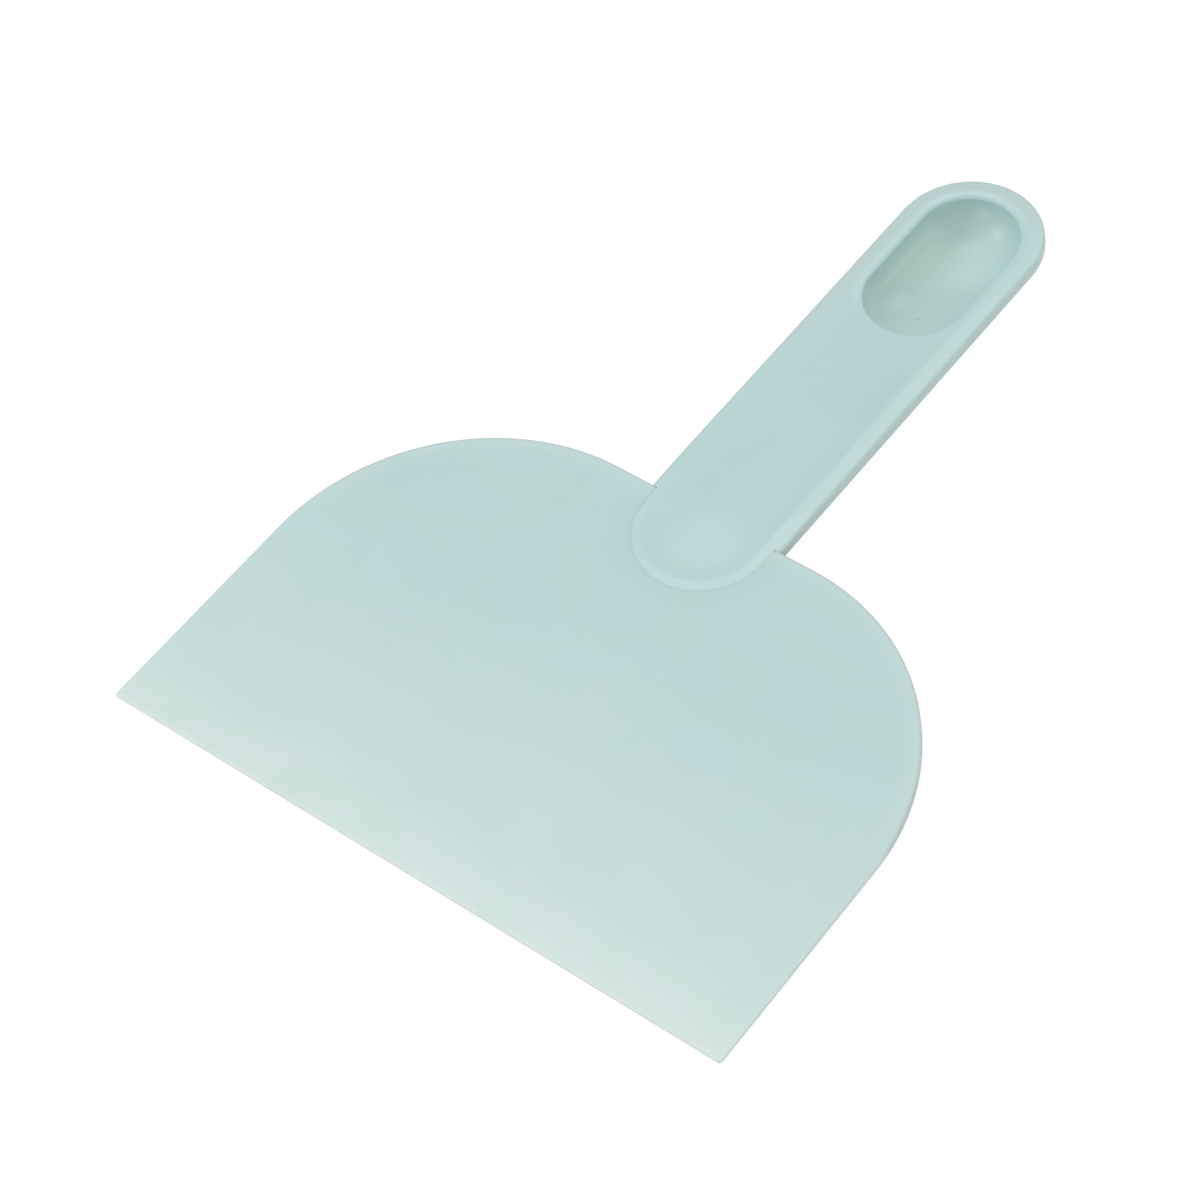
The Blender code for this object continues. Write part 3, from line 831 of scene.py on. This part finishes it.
class SCRAPER_OT_blade(bpy.types.Operator):
    """Builds the half-moon blade with its tongue, and the pocket and holes that hold the handle"""
    bl_idname = "scraper.blade"
    bl_label = "Blade"

    def execute(self, context):
        shape = ToolForm(context.scene)
        blade = shape.blade
        joint = shape.joint
        material = moulded_plastic("blade plastic", blade_colour, shape, shape.look.blade)
        piece = mesh_piece("blade_plate", bmesh.new())
        grow(piece, plate_tree(), Width=blade.width, Length=blade.length,
             Thickness=blade.thickness, Edge_Thickness=blade.edge_thickness,
             Taper_Length=blade.taper_length, Rounding=blade.rounding,
             Back_Width=blade.width - 2 * blade.length * math.tan(blade.side_tilt),
             Shoulder_Radius=shape.turn_r, Corner_Radius=blade.corner_radius, Material=material)
        bm = bmesh.new()
        bm.from_mesh(piece.data)
        bmesh.ops.remove_doubles(bm, verts=bm.verts, dist=WELD)
        open_edges = [edge for edge in bm.edges if edge.is_boundary]
        bmesh.ops.holes_fill(bm, edges=open_edges, sides=0)
        bmesh.ops.bisect_plane(bm, geom=[*bm.verts, *bm.edges, *bm.faces], dist=WELD,
                               plane_co=(0.0, blade.taper_length, 0.0), plane_no=(0.0, 1.0, 0.0))
        bmesh.ops.recalc_face_normals(bm, faces=bm.faces)
        bm.to_mesh(piece.data)
        bm.free()

        tongue = slab("tang", shape.tang_outline(0.0), 0.0, -blade.thickness)
        outline = shape.foot_outline(joint.seam)
        beyond = shape.tang_tip_y + PAST
        outline += [(outline[-1][0], beyond), (outline[0][0], beyond)]
        pocket = slab("seat", outline, PAST, -joint.seat_depth)
        holes = lock_pins("lock holes", shape.lock_places, joint.hole_radius, PAST,
                          -blade.thickness - PAST, material)
        carve(piece, (tongue, JOIN), (pocket, CUT), (holes, CUT))
        lay_down(piece, material, "blade")
        return {"FINISHED"}


class SCRAPER_OT_handle(bpy.types.Operator):
    """Builds the dished handle with its bowl, and the slots and pegs that grip the blade"""
    bl_idname = "scraper.handle"
    bl_label = "Handle"

    def execute(self, context):
        shape = ToolForm(context.scene)
        blade = shape.blade
        bowl = shape.bowl
        joint = shape.joint
        material = moulded_plastic("handle plastic", handle_colour, shape, shape.look.handle)
        piece = skin("handle_grip", shape.loops())

        ledge = shape.bowl_r + bowl.wall + bowl.fillet + bowl.skirt
        around = np.stack(stadium(shape.bowl_y, shape.far_y, ledge, *RECESS_RING), axis=1)
        dome = slab("dome", around, 0.0, -bowl.depth - bowl.wall - PAST)
        recess = skin("recess", list(shape.recess_loops()))
        carve(recess, (dome, CUT))

        back = blade.length + joint.gap
        slot_top = -joint.seat_depth + joint.gap
        slot_bottom = -blade.thickness - joint.gap
        wide = shape.half + PAST
        front = shape.near_y - shape.half - PAST
        around = [(-wide, front), (wide, front), (wide, back), (-wide, back)]
        slot = slab("slot", around, slot_top, slot_bottom)
        foot = shape.foot_outline(0.0)
        around = [(-wide, back), (foot[0][0], back), *foot, (foot[-1][0], back), (wide, back),
                  (wide, front), (-wide, front)]
        surround = slab("surround", around, PAST, slot_top - joint.gap)
        tang_slot = slab("tang slot", shape.tang_outline(joint.gap), slot_top, slot_bottom)
        pegs = lock_pins("lock pegs", shape.lock_places, joint.peg_radius,
                         slot_top + joint.peg_lap, slot_bottom - joint.peg_lap, material)
        carve(piece, (recess, CUT), (slot, CUT), (surround, CUT), (tang_slot, CUT), (pegs, JOIN))
        lay_down(piece, material, "handle")
        return {"FINISHED"}


def off_line(graph, x, y, near, far):
    """Distance from a line that runs along the handle's middle from near to far."""
    return graph.distance(x, y - graph.clamp(y, near, far))


def spot_share(graph, x, y, spot):
    """Share that a round spot has at a place."""
    middle_y = spot.y * MM
    return graph.fade(off_line(graph, x - spot.x * MM, y, middle_y, middle_y), spot.fade)


def blade_colour(graph, shape, x, y, mottle):
    """Blade's plastic, paler towards the edge, with painted highlights and painted shade."""
    look = shape.look
    tints = BladeTints
    fade = graph.fade
    aside = graph.math("ABSOLUTE", x)
    # Painted light on the side walls along the straight sides
    past_side = aside + y * math.tan(shape.blade.side_tilt) - shape.blade.width / 2
    side_light = fade(past_side, tints.lit_side_wall) * fade(y, tints.straight_side)
    # Paler towards the scraping edge: thinner plastic, and partly painted light
    thin = fade(y, tints.thin_edge) + fade(y, tints.thin)
    factor = graph.math("ADD", thin + side_light * tints.side_light_share, mottle, clamp=True)
    plain = graph.blend(factor, look.blade, look.edge)
    # Painted highlight along the edge's rounding, where the plastic is thinnest
    plain = graph.blend(fade(y, tints.last_millimetre), plain, look.thinnest)

    past_turn = graph.math("MAXIMUM", aside - shape.turn_x, 0.0)
    from_turn = graph.distance(past_turn, y - shape.turn_y)
    near_back = fade(y, tints.round_back)
    # Painted highlight in a band inside the round shoulders and the back edge
    back_highlight = fade(from_turn, tints.back_highlight, shape.turn_r) * near_back
    plain = graph.blend(back_highlight, plain, look.edge)
    # Painted dark line of shade on the back edge's rounding
    shade_line = fade(from_turn, tints.back_line, shape.turn_r) * near_back
    plain = graph.blend(shade_line, plain, look.back_line)

    from_foot = off_line(graph, x, y, shape.near_y, shape.far_y) - shape.foot
    shade = fade(from_foot, tints.foot_shade) + fade(from_foot, tints.wide_shade)
    return graph.blend(shade, plain, look.mark)


def dish_colour(graph, shape, x, y, mottle, from_mouth):
    """Handle's plastic outside the bowl, paler on the rim, foot and lip by painted light, with
    painted shade.
    """
    look = shape.look
    tints = HandleTints
    fade = graph.fade
    from_rim = off_line(graph, x, y, shape.near_y, shape.far_y) - shape.rim
    # Painted highlight along the crest
    rim_highlight_share = (tints.crest_share + fade(y, tints.crest_on_blade)
                 - fade(y, tints.crest_far) + fade(x, tints.crest_right))
    rim_highlight = fade(from_rim, tints.crest) * rim_highlight_share
    # Painted light on the dish over the foot
    foot_light = spot_share(graph, x, y, tints.foot)
    far_side = fade((y - tints.far_place * MM) * tints.far_slope - x, tints.far_side)
    # Painted highlight on the ridge round the bowl's mouth, on the far left side
    lip_highlight = (fade(from_mouth, tints.lip_inner) * far_side
              * fade(from_mouth, tints.lip_outer))
    pale = graph.math("ADD", rim_highlight + foot_light + lip_highlight * tints.lip_highlight_share,
                      mottle * tints.mottle_share + tints.dish_share, clamp=True)
    colour = graph.blend(pale, look.handle, look.rim)
    shaded = spot_share(graph, x, y, tints.shaded) * fade(from_rim, tints.in_dish)
    colour = graph.blend(shaded, colour, look.mark)
    # Painted shade on the outside of the rim's far left side
    outer = fade(from_rim, tints.outer) * far_side * fade(y, tints.outer_share)
    colour = graph.blend(outer, colour, look.far_rim_shade)
    # Painted shade on the handle's side wall
    wall_shade = fade(from_rim, tints.wall, shape.half - shape.rim)
    return graph.blend(wall_shade, colour, look.wall)


def handle_colour(graph, shape, x, y, mottle):
    """Handle's plastic, with the deeper bowl, the gate mark and a painted highlight on its floor,
    and painted shade on its left.
    """
    look = shape.look
    tints = BowlTints
    fade = graph.fade
    from_mouth = off_line(graph, x, y, shape.bowl_y, shape.far_y) - shape.bowl_r
    dish = dish_colour(graph, shape, x, y, mottle, from_mouth)
    # Painted highlight on the bowl's floor
    floor_highlight = spot_share(graph, x, y, tints.floor) * fade(x, tints.floor_side)
    inside = graph.blend(floor_highlight, look.bowl, look.floor)
    # Painted light in a band low on the bowl's left wall, where it lifts the painted shade
    band_across = graph.math("ABSOLUTE", x - tints.band_x * MM)
    band_along = graph.math("ABSOLUTE", y - tints.band_y * MM)
    painted_light_band = fade(band_across, tints.band_across) * fade(band_along, tints.band_along)
    # Painted shade on the bowl's left wall
    past_left = x - (y - tints.left_place * MM) * tints.left_slope
    left_wall_shade = fade(past_left, tints.left) * (1.0 - painted_light_band)
    inside = graph.blend(left_wall_shade, inside, look.mark)
    whole = graph.blend(fade(from_mouth, tints.mouth), dish, inside)
    return graph.blend(spot_share(graph, x, y, tints.gate), whole, look.mark)


def moulded_plastic(name, colour_at, shape, plain):
    """Satin moulded plastic with faint clouds and a fine grain."""
    look = shape.look
    material = bpy.data.materials.new(name)
    material.use_nodes = True
    graph = Graph(material.node_tree)
    pose = tool_pose(shape.blade.edge_thickness).inverted()
    there = graph.out(graph.node("ShaderNodeTexCoord"), "Object")
    placed = graph.give("ShaderNodeMapping", {"vector_type": "POINT"}, Vector=there,
                        Location=pose.translation, Rotation=pose.to_euler())
    place = graph.node("ShaderNodeSeparateXYZ", Vector=placed)
    mottle = (graph.noise(placed, look.mottle, *MOTTLE_NOISE) - 0.5) * look.mottle_share
    colour = colour_at(graph, shape, graph.out(place, "X"), graph.out(place, "Y"), mottle)
    drift = graph.noise(placed, look.drift, *DRIFT_NOISE)
    green = graph.ramp(drift, look.drift_start, look.drift_end, 0.0, look.drift_share)
    colour = graph.blend(green, colour, look.tinge)
    swell = graph.noise(placed, look.swell, *SWELL_NOISE)
    relief = graph.give("ShaderNodeBump", Strength=look.grain_share, Distance=look.grain_depth,
                        Height=graph.noise(placed, look.grain, *GRAIN_NOISE))
    shader = graph.give("ShaderNodeBsdfPrincipled", Base_Color=colour, IOR=look.refraction,
                        Roughness=look.roughness + (swell - 0.5) * look.swell_share,
                        Normal=relief)
    graph.node("ShaderNodeOutputMaterial", Surface=shader)
    material.diffuse_color = (*plain, 1.0)
    return material


class SCRAPER_OT_stage(bpy.types.Operator):
    """Sets the camera, the white tent, the ten round softboxes and the white table"""
    bl_idname = "scraper.stage"
    bl_label = "Stage"

    def execute(self, context):
        scene = context.scene
        look = scene.scraper_stage
        pose = tool_pose(scene.scraper_blade.edge_thickness)

        camera = bpy.data.cameras.new("camera")
        camera.sensor_width = FILM_WIDTH
        camera.lens = look.focal_length
        camera.clip_start = CAMERA_CLIP
        eye = bpy.data.objects.new("camera", camera)
        scene.collection.objects.link(eye)
        axes = Matrix(CAMERA_AXES).to_4x4()
        eye.matrix_world = pose @ Matrix.Translation(look.camera_place) @ axes
        scene.camera = eye

        world = bpy.data.worlds.new("white tent")
        scene.world = world
        world.use_nodes = True
        graph = Graph(world.node_tree)
        path = graph.node("ShaderNodeLightPath")
        seen = graph.math("MAXIMUM", graph.out(path, "Is Camera Ray"),
                          graph.out(path, "Is Transmission Ray"))
        strength = look.tent + seen * (1.0 - look.tent)
        tent = graph.give("ShaderNodeBackground", Color=WHITE, Strength=strength)
        graph.node("ShaderNodeOutputWorld", Surface=tent)

        for name, height, bearing, power in SOFTBOXES:
            lamp = bpy.data.lights.new(name, "AREA")
            lamp.shape = "DISK"
            lamp.size = look.lamp_width
            lamp.energy = power * look.lamp_level
            softbox = bpy.data.objects.new(name, lamp)
            scene.collection.objects.link(softbox)
            height = math.radians(height)
            bearing = math.radians(bearing)
            flat = math.cos(height)
            towards = (flat * math.sin(bearing), -flat * math.cos(bearing), math.sin(height))
            softbox.location = look.lamp_reach * Vector(towards)
            softbox.rotation_euler = softbox.location.to_track_quat("Z", "Y").to_euler()

        bm = bmesh.new()
        bmesh.ops.create_grid(bm, x_segments=1, y_segments=1, size=TABLE_HALF)
        table = mesh_piece("table", bm)
        table.location = (0.0, 0.0, -TABLE_DROP)
        cloth = bpy.data.materials.new("white table")
        cloth.use_nodes = True
        graph = Graph(cloth.node_tree)
        paper = graph.give("ShaderNodeBsdfDiffuse", Color=(look.table,) * 3 + (1.0,))
        glow = graph.give("ShaderNodeEmission", Color=WHITE, Strength=look.glow)
        path = graph.node("ShaderNodeLightPath")
        share = graph.out(path, "Is Camera Ray") * look.glow_share
        shader = graph.give("ShaderNodeMixShader", in0=share, in1=paper, in2=glow)
        graph.node("ShaderNodeOutputMaterial", Surface=shader)
        table.data.materials.append(cloth)
        scene.view_settings.view_transform = "Standard"
        return {"FINISHED"}


class SCRAPER_PT_panel(bpy.types.Panel):
    """Lists the steps that build the dough scraper"""
    bl_idname = "SCRAPER_PT_panel"
    bl_label = "Dough scraper"
    bl_space_type = "VIEW_3D"
    bl_region_type = "UI"
    bl_category = "Scraper"

    def draw(self, context):
        for group in GROUPS:
            box = self.layout.box()
            settings = getattr(context.scene, group)
            for name in settings.bl_rna.properties.keys():
                if name not in ("rna_type", "name"):
                    box.prop(settings, name)
        for step in STEPS:
            self.layout.operator(step.bl_idname)


GROUPS = {
    "scraper_blade": BladeSizes,
    "scraper_handle": HandleSizes,
    "scraper_bowl": BowlSizes,
    "scraper_joint": JointSizes,
    "scraper_look": PlasticLook,
    "scraper_stage": StageLook,
}
STEPS = (SCRAPER_OT_blade, SCRAPER_OT_handle, SCRAPER_OT_stage)
CLASSES = (*GROUPS.values(), *STEPS, SCRAPER_PT_panel)


def register():
    for made in CLASSES:
        bpy.utils.register_class(made)
    for name, group in GROUPS.items():
        setattr(bpy.types.Scene, name, PointerProperty(type=group))


def unregister():
    for name in GROUPS:
        delattr(bpy.types.Scene, name)
    for made in reversed(CLASSES):
        bpy.utils.unregister_class(made)


def main():
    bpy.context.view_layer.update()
    register()
    bpy.ops.scraper.blade()
    bpy.ops.scraper.handle()
    bpy.ops.scraper.stage()


if __name__ == "__main__":
    main()
